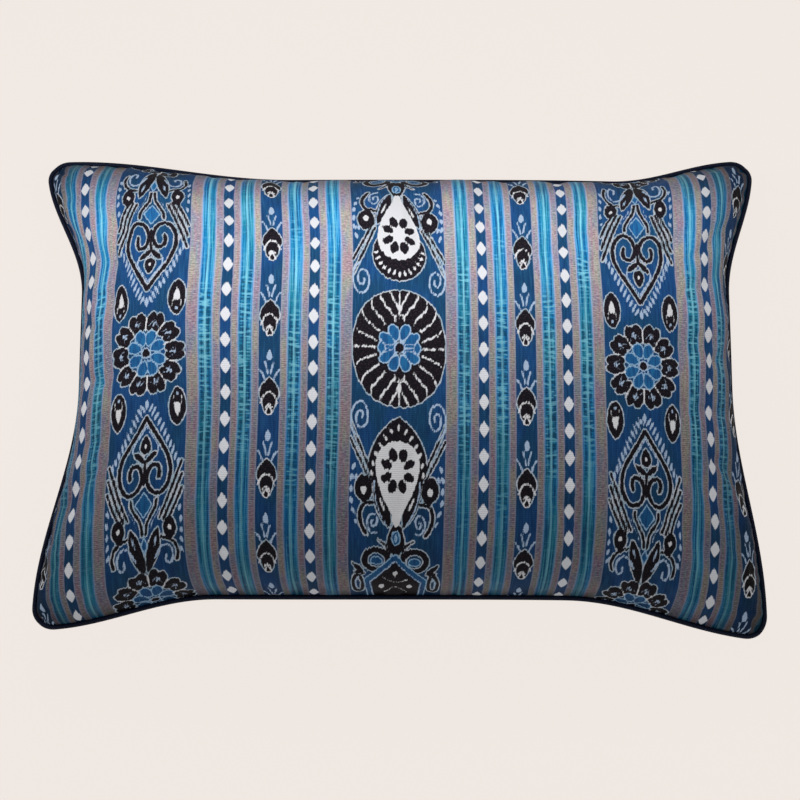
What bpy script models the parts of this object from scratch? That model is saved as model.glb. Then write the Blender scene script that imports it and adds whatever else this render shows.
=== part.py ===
"""Lumbar pillow lying on its back: one filled body, and the piping cord sewn into its seam.

Metres, +Z up. The origin is on the surface under the middle of the pillow, +X runs along the
long side and +Y towards the top of the patterned face, which looks up.
"""
import math

import bmesh
import bpy

# Driving sizes of the sewn cover, over the piping, before the filling draws its sides in
LENGTH = 0.583
WIDTH = 0.398
CORNER_RADIUS = 0.019
PIPING_DIAMETER = 0.0048
GAP = 0.0004

# How the filling shapes it: the back stays flat where it rests
SEAM_HEIGHT = 0.062
CROWN = 0.078
BELLY = 0.070
LONG_FULLNESS = 2.4
SHORT_FULLNESS = 2.1

# Each corner's drop below the seam's middle height, and how far it is pulled along Y
CORNERS = {
    ("left", "bottom"): {"drop": 0.018, "shift": 0.005},
    ("right", "bottom"): {"drop": 0.026, "shift": -0.002},
    ("left", "top"): {"drop": 0.021, "shift": 0.0},
    ("right", "top"): {"drop": 0.021, "shift": 0.001},
}

# How far each side's middle is drawn in, and how much of its two halves stays straight
SIDES = {
    "left": {"draw": 0.0335, "straight_low": 0.0, "straight_high": 0.40},
    "right": {"draw": 0.0245, "straight_low": 0.0, "straight_high": 0.40},
    "bottom": {"draw": 0.026, "straight_low": 0.50, "straight_high": 0.45},
    "top": {"draw": 0.022, "straight_low": 0.30, "straight_high": 0.60},
}
EDGE_POWER = 3

# The faces bulge out over the seam as lips, most of all halfway along the short sides
LIP_SHORT_SIDES = 0.006
LIP_LONG_SIDES = 0.0015
LIP_INSET = 0.008

# Puckers that the stitching gathers beside the seam, as waves that differ on the four sides
PUCKER_DEPTH = 0.0022
PUCKER_REACH = 0.030
PUCKER_WAVES = ({"length": 0.052, "share": 0.6}, {"length": 0.083, "share": 0.4})
PUCKER_START = {"face": 0.4, "back": 2.3}
PUCKER_TURN = 1.7
FOLD_FREE_SHARE = 0.25

# The main creases of the upper face: middle of the trough, its direction, length, width, depth
CREASES = (
    {"x": -0.253, "y": -0.095, "angle": 66, "length": 0.100, "width": 0.009, "depth": 0.0040},
    {"x": -0.262, "y": 0.135, "angle": 97, "length": 0.070, "width": 0.007, "depth": 0.0030},
    {"x": -0.200, "y": -0.168, "angle": 35, "length": 0.060, "width": 0.009, "depth": 0.0025},
    {"x": 0.262, "y": -0.130, "angle": 112, "length": 0.080, "width": 0.009, "depth": 0.0035},
    {"x": 0.232, "y": -0.170, "angle": 140, "length": 0.055, "width": 0.008, "depth": 0.0030},
    {"x": 0.258, "y": 0.132, "angle": 68, "length": 0.070, "width": 0.008, "depth": 0.0028},
)

# Grid lines of each face: even ones, and close ones at these angles that round the edge
LONG_LINES = 44
SHORT_LINES = 30
EDGE_ANGLES = (4.5, 9.0, 14.0)
LINE_SPARE = 0.5
WELD = 0.00001

HALF_LENGTH = LENGTH / 2 - PIPING_DIAMETER - GAP
HALF_WIDTH = WIDTH / 2 - PIPING_DIAMETER - GAP
SEAM_RADIUS = CORNER_RADIUS - PIPING_DIAMETER - GAP

NAVY_CLOTH = (0.020, 0.085, 0.230, 1)
BLACK_NAVY = (0.006, 0.008, 0.020, 1)


def clear_scene():
    for thing in list(bpy.data.objects):
        bpy.data.objects.remove(thing)


def fabric(name, colour, roughness):
    """A cloth finish."""
    material = bpy.data.materials.new(name)
    material.use_nodes = True
    shader = material.node_tree.nodes["Principled BSDF"]
    shader.inputs["Base Color"].default_value = colour
    shader.inputs["Roughness"].default_value = roughness
    shader.inputs["Metallic"].default_value = 0
    material.diffuse_color = colour
    return material


def grid_lines(count):
    """Places from -1 to 1 of the grid lines, closer together beside both edges."""
    near_edge = [math.cos(math.radians(angle)) for angle in EDGE_ANGLES]
    even = [-1 + 2 * i / count for i in range(1, count)]
    even = [v for v in even if abs(v) < near_edge[-1] - LINE_SPARE / count]
    return [-1] + [-v for v in near_edge] + even + near_edge[::-1] + [1]


def rounded(s, t):
    """Plan of the face before it is drawn in: a rectangle whose corner squares become quarter discs."""
    x, y = s * HALF_LENGTH, t * HALF_WIDTH
    past_x = max(abs(x) - (HALF_LENGTH - SEAM_RADIUS), 0)
    past_y = max(abs(y) - (HALF_WIDTH - SEAM_RADIUS), 0)
    if past_x > 0 and past_y > 0:
        shrink = max(past_x, past_y) / math.hypot(past_x, past_y)
        x = math.copysign(abs(x) - past_x * (1 - shrink), x)
        y = math.copysign(abs(y) - past_y * (1 - shrink), y)
    return x, y


def fullness(v, power):
    """Height share across the pillow: 1 in the middle, 0 at the seam, round beside it."""
    return (1 - min(abs(v), 1) ** power) ** (1 / power)


def drawn_in(side, along):
    """How far this side is drawn in at a place from -1 to 1 along it."""
    form = SIDES[side]
    straight = form["straight_low"] if along < 0 else form["straight_high"]
    share = max(0, (min(abs(along), 1) - straight) / (1 - straight))
    return form["draw"] * (1 + math.cos(math.pi * share)) / 2


def swell(distance, reach):
    """Grows from 0 at the seam to 1 at the reach, and fades beyond it."""
    return distance / reach * math.exp(1 - distance / reach)


def wave(along, start):
    total = 0
    for number, part in enumerate(PUCKER_WAVES, 1):
        total += part["share"] * math.sin(2 * math.pi * along / part["length"] + start * number)
    return total


def puckers(x, y, inset_x, inset_y, start):
    """Gathers across the seam, which fade out over the face and at the seam itself."""
    beside_short = swell(inset_x, PUCKER_REACH) * wave(y, start + math.copysign(PUCKER_TURN, x))
    beside_long = swell(inset_y, PUCKER_REACH) * wave(x, start + math.copysign(PUCKER_TURN, y))
    return PUCKER_DEPTH * (beside_short + beside_long)


def creases(x, y):
    """Depth of the main creases: tapered troughs with soft sides."""
    total = 0
    for crease in CREASES:
        angle = math.radians(crease["angle"])
        from_x, from_y = x - crease["x"], y - crease["y"]
        along = from_x * math.cos(angle) + from_y * math.sin(angle)
        beside = -from_x * math.sin(angle) + from_y * math.cos(angle)
        taper = max(0, 1 - (2 * along / crease["length"]) ** 2)
        total += crease["depth"] * taper * math.exp(-(beside / crease["width"]) ** 2)
    return total


def cover_point(s, t, face):
    """Place of a point of the cover, from -1 to 1 along and across it, on its face or back."""
    x, y = rounded(s, t)
    inset_x, inset_y = HALF_LENGTH * (1 - abs(s)), HALF_WIDTH * (1 - abs(t))
    short_side = "right" if s > 0 else "left"
    long_side = "top" if t > 0 else "bottom"
    corner, near_corner = CORNERS[short_side, long_side], abs(s * t) ** EDGE_POWER
    pull_x = drawn_in(short_side, t) * abs(s) ** EDGE_POWER
    pull_y = drawn_in(long_side, s) * abs(t) ** EDGE_POWER
    pull_x -= LIP_SHORT_SIDES * swell(inset_x, LIP_INSET) * (1 - t * t) ** 2
    pull_y -= LIP_LONG_SIDES * swell(inset_y, LIP_INSET) * (1 - s * s) ** 2
    x -= math.copysign(pull_x, s)
    y += corner["shift"] * near_corner - math.copysign(pull_y, t)
    full = fullness(s, LONG_FULLNESS) * fullness(t, SHORT_FULLNESS)
    height = SEAM_HEIGHT - corner["drop"] * near_corner
    height += CROWN * full if face == "face" else -BELLY * full
    folds = puckers(x, y, inset_x, inset_y, PUCKER_START[face])
    if face == "face":
        folds -= creases(x, y)
    height += folds * min(1, full / FOLD_FREE_SHARE)
    return x, y, max(height, 0)


def seam_loop():
    """The seam's points, once round the pillow, anticlockwise from above."""
    long_places, short_places = grid_lines(LONG_LINES), grid_lines(SHORT_LINES)
    loop = [(s, -1) for s in long_places[:-1]] + [(1, t) for t in short_places[:-1]]
    loop += [(s, 1) for s in long_places[:0:-1]] + [(-1, t) for t in short_places[:0:-1]]
    return [cover_point(s, t, "face") for s, t in loop]


def piping_route():
    """The cord's middle line, outside the seam by its radius and the gap."""
    seam = seam_loop()
    out = PIPING_DIAMETER / 2 + GAP
    route = []
    for i, (x, y, z) in enumerate(seam):
        before, after = seam[i - 1], seam[(i + 1) % len(seam)]
        step_x, step_y = after[0] - before[0], after[1] - before[1]
        length = math.hypot(step_x, step_y)
        route.append((x + out * step_y / length, y - out * step_x / length, z))
    return route


def middle_of(route):
    """The middle of the route's box, seen from above."""
    return [(min(place[axis] for place in route) + max(place[axis] for place in route)) / 2 for axis in (0, 1)]


def make_body():
    """Two gridded faces shaped over the filling and welded along the seam."""
    long_places, short_places = grid_lines(LONG_LINES), grid_lines(SHORT_LINES)
    columns, rows = len(long_places) - 1, len(short_places) - 1
    shape = bmesh.new()
    for face in ("face", "back"):
        grid = bmesh.new()
        bmesh.ops.create_grid(grid, x_segments=columns, y_segments=rows, size=1)
        for vertex in grid.verts:
            column = round((vertex.co.x + 1) / 2 * columns)
            row = round((vertex.co.y + 1) / 2 * rows)
            vertex.co = cover_point(long_places[column], short_places[row], face)
        if face == "back":
            bmesh.ops.reverse_faces(grid, faces=grid.faces)
        half = bpy.data.meshes.new("half")
        grid.to_mesh(half)
        grid.free()
        shape.from_mesh(half)
        bpy.data.meshes.remove(half)
    rim = [vertex for vertex in shape.verts if vertex.is_boundary]
    bmesh.ops.remove_doubles(shape, verts=rim, dist=WELD)
    mesh = bpy.data.meshes.new("pillow_body")
    shape.to_mesh(mesh)
    shape.free()
    mesh.shade_smooth()
    mesh.materials.append(fabric("woven cover", NAVY_CLOTH, 0.75))
    return bpy.data.objects.new("pillow_body", mesh)


def make_piping():
    """A round cord that follows the seam just outside it."""
    curve = bpy.data.curves.new("piping", "CURVE")
    curve.dimensions = "3D"
    curve.twist_mode = "Z_UP"
    curve.bevel_depth = PIPING_DIAMETER / 2
    curve.bevel_resolution = 2
    route = piping_route()
    spline = curve.splines.new("POLY")
    spline.points.add(len(route) - 1)
    spline.use_cyclic_u = True
    for point, place in zip(spline.points, route):
        point.co = (*place, 1)
    curve.materials.append(fabric("piping cloth", BLACK_NAVY, 0.6))
    return bpy.data.objects.new("piping", curve)


def main():
    clear_scene()
    middle_x, middle_y = middle_of(piping_route())
    for piece in (make_body(), make_piping()):
        piece.location = (-middle_x, -middle_y, 0)
        bpy.context.scene.collection.objects.link(piece)


main()
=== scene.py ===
"""The looks of a lumbar pillow: a filled cover of striped ikat cloth with piping in its seam.

Metres, +Z up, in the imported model's frame. The pillow lies on its back with the patterned face up,
+X along its long side and +Y towards the top of the pattern. Sizes of the pattern are millimetres
of cloth.
"""
import math
from types import SimpleNamespace as Row

import bpy
import numpy as np
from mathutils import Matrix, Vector

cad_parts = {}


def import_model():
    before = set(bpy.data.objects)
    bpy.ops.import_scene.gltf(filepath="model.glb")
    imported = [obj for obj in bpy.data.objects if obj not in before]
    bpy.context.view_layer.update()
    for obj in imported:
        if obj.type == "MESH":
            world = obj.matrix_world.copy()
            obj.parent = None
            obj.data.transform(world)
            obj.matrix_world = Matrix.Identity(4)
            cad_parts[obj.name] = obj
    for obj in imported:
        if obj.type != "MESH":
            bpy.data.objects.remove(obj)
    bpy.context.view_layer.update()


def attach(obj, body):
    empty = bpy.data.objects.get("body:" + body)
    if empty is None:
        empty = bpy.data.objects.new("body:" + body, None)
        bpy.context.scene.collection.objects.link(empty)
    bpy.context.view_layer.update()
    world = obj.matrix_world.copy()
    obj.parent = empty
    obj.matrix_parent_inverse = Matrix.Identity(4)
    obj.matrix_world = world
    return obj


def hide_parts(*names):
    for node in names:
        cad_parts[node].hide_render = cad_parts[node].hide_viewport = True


def table(columns, *rows):
    """The rows of a short table, with its columns' names."""
    return [Row(**dict(zip(columns.split(), row))) for row in rows]


# The sewn cover's form, as it was constructed: sizes over the piping, before the filling draws it in
LENGTH = 0.583
WIDTH = 0.398
CORNER_RADIUS = 0.019
GAP = 0.0004
SEAM_HEIGHT = 0.062
CROWN = 0.078
BELLY = 0.070
LONG_FULLNESS = 2.4
SHORT_FULLNESS = 2.1
CORNERS = table(
    "x y drop shift",
    (-1, -1, 0.018, 0.005),
    (1, -1, 0.026, -0.002),
    (-1, 1, 0.021, 0.0),
    (1, 1, 0.021, 0.001),
)
SIDES = {row.side: row for row in table(
    "side draw straight_low straight_high",
    ("left", 0.0335, 0.0, 0.40),
    ("right", 0.0245, 0.0, 0.40),
    ("bottom", 0.026, 0.50, 0.45),
    ("top", 0.022, 0.30, 0.60),
)}
EDGE_POWER = 3
LIP_SHORT_SIDES = 0.006
LIP_LONG_SIDES = 0.0015
LIP_INSET = 0.008
PUCKER_DEPTH = 0.0022
PUCKER_REACH = 0.030
PUCKER_WAVES = table("length share", (0.052, 0.6), (0.083, 0.4))
PUCKER_START = {"face": 0.4, "back": 2.3}
PUCKER_TURN = 1.7
FOLD_FREE_SHARE = 0.25
CREASES = table(
    "x y angle length width depth",
    (-0.253, -0.095, 66, 0.100, 0.009, 0.0040),
    (-0.262, 0.135, 97, 0.070, 0.007, 0.0030),
    (-0.200, -0.168, 35, 0.060, 0.009, 0.0025),
    (0.262, -0.130, 112, 0.080, 0.009, 0.0035),
    (0.232, -0.170, 140, 0.055, 0.008, 0.0030),
    (0.258, 0.132, 68, 0.070, 0.008, 0.0028),
)

# The piping's cord, a millimetre slimmer than its solid and tucked in between the panels
PIPING_DIAMETER = 0.0038
PIPING_TUCK = 0.0003
PIPING_SIDES = 14
SEAM_STEP = 0.002
SEAM_POINTS = 400

# The seam inside the piping, before it is drawn in
HALF_LENGTH = LENGTH / 2 - PIPING_DIAMETER - GAP
HALF_WIDTH = WIDTH / 2 - PIPING_DIAMETER - GAP
SEAM_RADIUS = CORNER_RADIUS - PIPING_DIAMETER - GAP

# The cut panel and the grid of cloth cells that slides along the filling until it lies evenly
CLOTH_LENGTH = 600
CLOTH_WIDTH = 400
CELL = 5
EVEN_ROUNDS = 8
SLIDE_ROUNDS = 200
SLIDE_STEP = 0.4
SLIDE_LIMIT = 0.004
SLIDE_PROBE = 1e-4
LEAST_AREA = 1e-4
SHEAR_SHARE = 0.3

# What keeps a divisor from being 0
TINY = 1e-9

# Wrinkles: Blender's cloth gives them, and only what is finer than this width is kept
SETTLE_FRAMES = 20
SLACK = 0.015
CLOTH_SETTINGS = {
    "quality": 5,
    "mass": 0.3,
    "tension_stiffness": 15,
    "compression_stiffness": 15,
    "shear_stiffness": 5,
    "bending_stiffness": 0.5,
    "use_pressure": True,
    "uniform_pressure_force": 4,
    "shrink_min": -SLACK,
    "vertex_group_mass": "seam",
}
WRINKLE_WIDTH = 22
WRINKLE_LIMIT = 0.005
WRINKLE_GAIN = 0.8

# Small gathers of the stitching beside the seam, stronger in some patches than in others
GATHER_DEPTH = 0.0006
GATHER_REACH = 5.0
GATHER_LENGTHS = (9.5, 13.7, 21.3)
GATHER_PATCH = 31

# Fineness of the finished panels, and of the motifs' outlines in points
MOTIF_STEP = 1.25
BAND_STEP = 3.0
ROW_STEP = 1.45
BACK_STEP = 3.0
LINE_STEPS = 8
OVAL_POINTS = 40
DROP_POINTS = 48
SPIRAL_POINTS = 24
SPIRAL_END = 0.15

# Layout of the cloth, from the middle of the medallion panel outwards
PATTERN_MIDDLE = -4.1
MEDALLION_PANEL = 72.0
ROSETTE_PANEL = 62.0
FLAME_PANEL = 16.0
BAND_GROUP = table(
    "kind width",
    ("mauve", 8.7),
    ("turquoise", 11.3),
    ("mauve", 5.2),
    ("diamond", 8.5),
    ("mauve", 4.6),
    ("turquoise", 11.2),
    ("mauve", 4.9),
)
TURQUOISE_EDGE = 5.1
TURQUOISE_BORDER = 6.0
NAVY_EDGE = 3.95
NAVY_BORDER = 4.9
DIAMOND_PITCH = 20.44
DIAMOND_HALF_WIDTH = 3.8
DIAMOND_HALF_HEIGHT = 5.9
DIAMOND_POWER = 1.25
FLAME_PITCH = 3 * DIAMOND_PITCH
FLAME_ROW = 2 * DIAMOND_PITCH
FLAME_FOOT = 0.4
MEDALLION_ROW = 18.4
ROSETTE_ROW = 12.5
ROSETTE_PITCH = 200.0
RIB_PITCH = 1.5
THREAD_PITCH = 0.8

# How far the yarns slip before they are dyed
YARN_SLIP = 0.4
SLIP_SEED = 7
SLIP_KNOTS = 8

# How the cloth lies in its cover: the stripes bow outwards, the filling pulls them aside in a few
# places, and the weft wanders a little
LEFT_BOW = 0.035
RIGHT_BOW = 0.010
BOW_MIDDLE = 50
BOW_REACH = 200
PULLS = table(
    "x y inner outer tall shift",
    (-200, 60, 73, 40, 75, -6.0),
    (-255, 165, 50, 60, 28, 3.0),
    (-245, -200, 50, 60, 45, -9.0),
    (275, -85, 60, 60, 95, -7.5),
)
SQUARE_EDGE = 22
WEFT_ROW = -8.7
WEFT_WANDER = 4.0
WEFT_LENGTH = 520
WEFT_START = -20

# Dashes cross the turquoise bands over this half length, and their ends drift from band to band
DASH_ROWS = 72
DASH_DRIFT = 220

# The colours are this bright along one row, where a painted sheen on the satin bands is strongest, and
# painted shade dims them the lower they lie. Each painted shade dims the cloth beside a side or the seam,
# or paints light on it with a share below 0
PAINTED_SHADING_PEAK = 1.16
PAINTED_SHADING_FADE = 400
PAINTED_LIGHT_ROW = 100
PAINTED_SHEEN_REACH = 100
PAINTED_SATIN_SHEEN = 0.27
PAINTED_SHADES = table(
    "side share reach",
    ("top", 0.56, 48),
    ("bottom", -0.16, 58),
    ("left", 0.3, 30),
    ("right", 0.44, 42),
    ("seam", 0.45, 14),
)

# The medallion: its size and squareness, its spokes, and how they sweep towards its arches
MEDALLION_SIZE = (MEDALLION_PANEL / 2 - 0.8, 45.0)
MEDALLION_POWER = 2.2
SPOKES = 12
SPOKE_HALF_WIDTH = 0.66
SPOKE_END = 0.50
SWEEP_TO_ARCH = 0.7
SWEEP_AT_SIDES = 0.18
SPOKE_BULGE = 0.16
BULGE_INSET = 0.15
LEAST_SPREAD = 0.35
SCALLOP = 0.5
ARCH_ROW = 27

# The motifs' inks, from the lowest to the top one, and the limits of their distances
INKS = ("dark", "flower", "light", "pale", "core", "white")
FAR = 9.0
REACH = 4.0

# The light: a long strip lamp over the pillow's upper half, an even fill, and a floor that glows
LAMP_PLACE = (-0.15, 0.115, 0.33)
LAMP_SIZE = (0.9, 0.05)
LAMP_TURN = 4
LAMP_POWER = 0.84
FILL_LIGHT = 0.36
FLOOR_COLOUR = (240, 232, 226)
FLOOR_ALBEDO = 0.06
FLOOR_GLOW = 0.972
FLOOR_REACH = 30.0

# The camera looks across the pillow's face as in the photograph, 800 by 800
TILT = math.radians(15)
CAMERA_DISTANCE = 2.2
AIM = Vector((0, -0.0095, 0.062))
VIEW_WIDTH = 0.64
SENSOR = 36


def rounded(s, t):
    """Plan of the face before it is drawn in: a rectangle whose corner squares become quarter discs."""
    x, y = s * HALF_LENGTH, t * HALF_WIDTH
    past_x = np.maximum(abs(x) - (HALF_LENGTH - SEAM_RADIUS), 0)
    past_y = np.maximum(abs(y) - (HALF_WIDTH - SEAM_RADIUS), 0)
    reach = np.maximum(np.hypot(past_x, past_y), TINY)
    spare = np.where((past_x > 0) & (past_y > 0), 1 - np.maximum(past_x, past_y) / reach, 0)
    return x - np.sign(x) * past_x * spare, y - np.sign(y) * past_y * spare


def fullness(v, power):
    """Height share across the pillow: 1 in the middle, 0 at the seam, round beside it."""
    return (1 - np.minimum(abs(v), 1) ** power) ** (1 / power)


def drawn_in(side, along):
    """How far this side is drawn in at a place from -1 to 1 along it."""
    form = SIDES[side]
    straight = np.where(along < 0, form.straight_low, form.straight_high)
    share = np.maximum(0, (np.minimum(abs(along), 1) - straight) / (1 - straight))
    return form.draw * (1 + np.cos(np.pi * share)) / 2


def swell(distance, reach):
    """Grows from 0 at the seam to 1 at the reach, and fades beyond it."""
    return distance / reach * np.exp(1 - distance / reach)


def wave(along, start):
    """The puckers' height along a side, from about -1 to 1."""
    return sum(part.share * np.sin(2 * np.pi * along / part.length + start * number)
               for number, part in enumerate(PUCKER_WAVES, 1))


def puckers(x, y, inset_x, inset_y, start):
    """Gathers across the seam, which fade out over the face and at the seam itself."""
    beside_short = swell(inset_x, PUCKER_REACH) * wave(y, start + np.copysign(PUCKER_TURN, x))
    beside_long = swell(inset_y, PUCKER_REACH) * wave(x, start + np.copysign(PUCKER_TURN, y))
    return PUCKER_DEPTH * (beside_short + beside_long)


def creases(x, y):
    """Depth of the main creases: tapered troughs with soft sides."""
    total = 0
    for crease in CREASES:
        angle = math.radians(crease.angle)
        from_x, from_y = x - crease.x, y - crease.y
        along = from_x * math.cos(angle) + from_y * math.sin(angle)
        beside = -from_x * math.sin(angle) + from_y * math.cos(angle)
        taper = np.maximum(0, 1 - (2 * along / crease.length) ** 2)
        total = total + crease.depth * taper * np.exp(-(beside / crease.width) ** 2)
    return total


def cover(s, t, face, folds=True):
    """Places of points of the cover, from -1 to 1 along and across it, on its face or back."""
    x, y = rounded(s, t)
    inset_x, inset_y = HALF_LENGTH * (1 - abs(s)), HALF_WIDTH * (1 - abs(t))
    near_corner = abs(s * t) ** EDGE_POWER
    drop, shift = np.zeros_like(s), np.zeros_like(s)
    for corner in CORNERS:
        here = ((s > 0) == (corner.x > 0)) & ((t > 0) == (corner.y > 0))
        drop[here], shift[here] = corner.drop, corner.shift
    pull_x = np.where(s > 0, drawn_in("right", t), drawn_in("left", t)) * abs(s) ** EDGE_POWER
    pull_y = np.where(t > 0, drawn_in("top", s), drawn_in("bottom", s)) * abs(t) ** EDGE_POWER
    pull_x = pull_x - LIP_SHORT_SIDES * swell(inset_x, LIP_INSET) * (1 - t * t) ** 2
    pull_y = pull_y - LIP_LONG_SIDES * swell(inset_y, LIP_INSET) * (1 - s * s) ** 2
    x = x - np.sign(s) * pull_x
    y = y + shift * near_corner - np.sign(t) * pull_y
    full = fullness(s, LONG_FULLNESS) * fullness(t, SHORT_FULLNESS)
    z = SEAM_HEIGHT - drop * near_corner + (CROWN if face == "face" else -BELLY) * full
    if folds:
        fold = puckers(x, y, inset_x, inset_y, PUCKER_START[face])
        if face == "face":
            fold = fold - creases(x, y)
        z = z + fold * np.minimum(1, full / FOLD_FREE_SHARE)
    return np.stack([x, y, np.maximum(z, 0)], -1)


def arc_of(line):
    """Length along a line up to each of its points."""
    return np.concatenate([[0], np.cumsum(np.linalg.norm(np.diff(line, axis=0), axis=1))])


def length_of(vectors):
    """Lengths of vectors, never quite 0, as numbers that the vectors can be divided by."""
    return np.maximum(np.linalg.norm(vectors, axis=-1, keepdims=True), TINY)


def even_lines(s, t, face):
    """Spaces each line of the grid evenly along itself, first one way and then the other."""
    for axis in (0, 1):
        places = cover(s, t, face, False)
        for line in range(s.shape[1 - axis]):
            at = (slice(None), line) if axis == 0 else line
            arc = arc_of(places[at])
            even = np.linspace(0, arc[-1], len(arc))
            s[at], t[at] = np.interp(even, arc, s[at]), np.interp(even, arc, t[at])


def spring_pull(places):
    """Pull on each grid point of the threads and diagonals that are longer or shorter than their cut."""
    pull, weight = np.zeros_like(places), np.zeros(places.shape[:2])
    n, m = weight.shape
    for (di, dj), stiff in (((1, 0), 1), ((0, 1), 1), ((1, 1), SHEAR_SHARE), ((1, -1), SHEAR_SHARE)):
        near = (slice(0, n - di), slice(max(0, -dj), m - max(0, dj)))
        far = (slice(di, n), slice(max(0, dj), m + min(0, dj)))
        step = places[far] - places[near]
        force = stiff * (1 - CELL / 1000 * math.hypot(di, dj) / length_of(step)) * step
        pull[near] += force
        pull[far] -= force
        weight[near] += stiff
        weight[far] += stiff
    return pull / weight[..., None]


def slide(s, t, face):
    """Moves the grid points along the surface as the springs pull them; those of the seam stay on it."""
    places = cover(s, t, face, False)
    pull = spring_pull(places)
    step_s, step_t = np.where(s > 0, -SLIDE_PROBE, SLIDE_PROBE), np.where(t > 0, -SLIDE_PROBE, SLIDE_PROBE)
    along_s = (cover(s + step_s, t, face, False) - places) / step_s[..., None]
    along_t = (cover(s, t + step_t, face, False) - places) / step_t[..., None]
    ss, tt, st = (along_s ** 2).sum(-1), (along_t ** 2).sum(-1), (along_s * along_t).sum(-1)
    by_s, by_t = (pull * along_s).sum(-1), (pull * along_t).sum(-1)
    area = np.maximum(ss * tt - st * st, LEAST_AREA * ss * tt)
    move_s, move_t = (tt * by_s - st * by_t) / area, (ss * by_t - st * by_s) / area
    ends = [0, -1]
    move_s[:, ends], move_t[:, ends] = (by_s / ss)[:, ends], 0
    move_s[ends], move_t[ends] = 0, (by_t / tt)[ends]
    move_t[np.ix_(ends, ends)] = 0
    for place, move in ((s, move_s), (t, move_t)):
        place += np.clip(SLIDE_STEP * move, -SLIDE_LIMIT, SLIDE_LIMIT)
        np.clip(place, -1, 1, out=place)


def cloth_grids():
    """Places of the threads' crossings on both faces, a cell apart, where the cloth would lie."""
    columns, rows = CLOTH_LENGTH // CELL + 1, CLOTH_WIDTH // CELL + 1
    grids = {}
    for face in ("face", "back"):
        s, t = np.meshgrid(np.linspace(-1, 1, columns), np.linspace(-1, 1, rows), indexing="ij")
        for _ in range(EVEN_ROUNDS):
            even_lines(s, t, face)
        grids[face] = (s, t)
    for _ in range(SLIDE_ROUNDS):
        for face, (s, t) in grids.items():
            slide(s, t, face)
        for of_face, of_back in zip(grids["face"], grids["back"]):
            for edge in (np.s_[0], np.s_[-1], np.s_[:, 0], np.s_[:, -1]):
                of_face[edge] = of_back[edge] = (of_face[edge] + of_back[edge]) / 2
    return {face: cover(s, t, face) for face, (s, t) in grids.items()}


def quads_of(numbers, flip=False):
    """Faces of a grid of vertex numbers."""
    corners = (numbers[:-1, :-1], numbers[1:, :-1], numbers[1:, 1:], numbers[:-1, 1:])
    faces = np.stack(corners, -1).reshape(-1, 4)
    return faces[:, ::-1] if flip else faces


def added(name, data):
    """A new object in the scene, of this mesh, lamp or camera."""
    made = bpy.data.objects.new(name, data)
    bpy.context.scene.collection.objects.link(made)
    return made


def settled(points, faces, seam):
    """Where the points come to rest as cloth that is a little too large, blown up from inside."""
    mesh = bpy.data.meshes.new("settling")
    mesh.from_pydata(points.tolist(), [], faces.tolist())
    piece = added("settling", mesh)
    piece.vertex_groups.new(name="seam").add(seam.tolist(), 1.0, "REPLACE")
    cloth = piece.modifiers.new("cloth", "CLOTH")
    for name, value in CLOTH_SETTINGS.items():
        setattr(cloth.settings, name, value)
    cloth.settings.effector_weights.gravity = 0
    cloth.collision_settings.use_collision = False
    cloth.point_cache.frame_start, cloth.point_cache.frame_end = 1, SETTLE_FRAMES
    for number in range(1, SETTLE_FRAMES + 1):
        bpy.context.scene.frame_set(number)
    result = piece.evaluated_get(bpy.context.evaluated_depsgraph_get()).data
    places = np.zeros(len(result.vertices) * 3, np.float32)
    result.vertices.foreach_get("co", places)
    bpy.data.objects.remove(piece)
    bpy.data.meshes.remove(mesh)
    bpy.context.scene.frame_set(1)
    return places.reshape(-1, 3).astype(float)


def blurred(grid, width):
    """A grid smoothed over this many cells, turned over at its rim so that the rim stays."""
    reach = int(3 * width)
    weights = np.exp(-0.5 * (np.arange(-reach, reach + 1) / width) ** 2)
    weights /= weights.sum()
    for axis in (0, 1):
        grid = np.moveaxis(grid, axis, 0)
        before, after = 2 * grid[:1] - grid[reach:0:-1], 2 * grid[-1:] - grid[-2:-reach - 2:-1]
        padded = np.concatenate([before, grid, after])
        grid = sum(weights[k] * padded[k:k + len(grid)] for k in range(2 * reach + 1))
        grid = np.moveaxis(grid, 0, axis)
    return grid


def wrinkled(grids):
    """Adds the fine part of what Blender's cloth does to both faces; the seam and the form stay."""
    rim = np.ones(grids["face"].shape[:2], bool)
    rim[1:-1, 1:-1] = False
    face_numbers = np.arange(rim.size).reshape(rim.shape)
    back_numbers = face_numbers.copy()
    back_numbers[~rim] = rim.size + np.arange((~rim).sum())
    points = np.concatenate([grids["face"].reshape(-1, 3), grids["back"][~rim]])
    faces = np.concatenate([quads_of(face_numbers), quads_of(back_numbers, flip=True)])
    moved = settled(points, faces, face_numbers[rim]) - points
    result = {}
    for face, numbers in (("face", face_numbers), ("back", back_numbers)):
        fine = moved[numbers] - blurred(moved[numbers], WRINKLE_WIDTH / CELL)
        size = length_of(fine) * WRINKLE_GAIN
        fine *= WRINKLE_GAIN * WRINKLE_LIMIT * np.tanh(size / WRINKLE_LIMIT) / size
        result[face] = points[numbers] + fine
        result[face][..., 2] = np.maximum(result[face][..., 2], 0)
    return result


def with_ends(points):
    """A row of points with one more beyond each end, straight on."""
    return np.concatenate([2 * points[:1] - points[1:2], points, 2 * points[-1:] - points[-2:-1]])


def knot_weights(place, count):
    """The first of four knots round each place, and the four knots' shares."""
    knot = np.clip(np.floor(place).astype(int), 0, count - 2)
    f = place - knot
    return knot, (
        -0.5 * f + f ** 2 - 0.5 * f ** 3,
        1 - 2.5 * f ** 2 + 1.5 * f ** 3,
        0.5 * f + 2 * f ** 2 - 1.5 * f ** 3,
        -0.5 * f ** 2 + 0.5 * f ** 3,
    )


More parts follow.
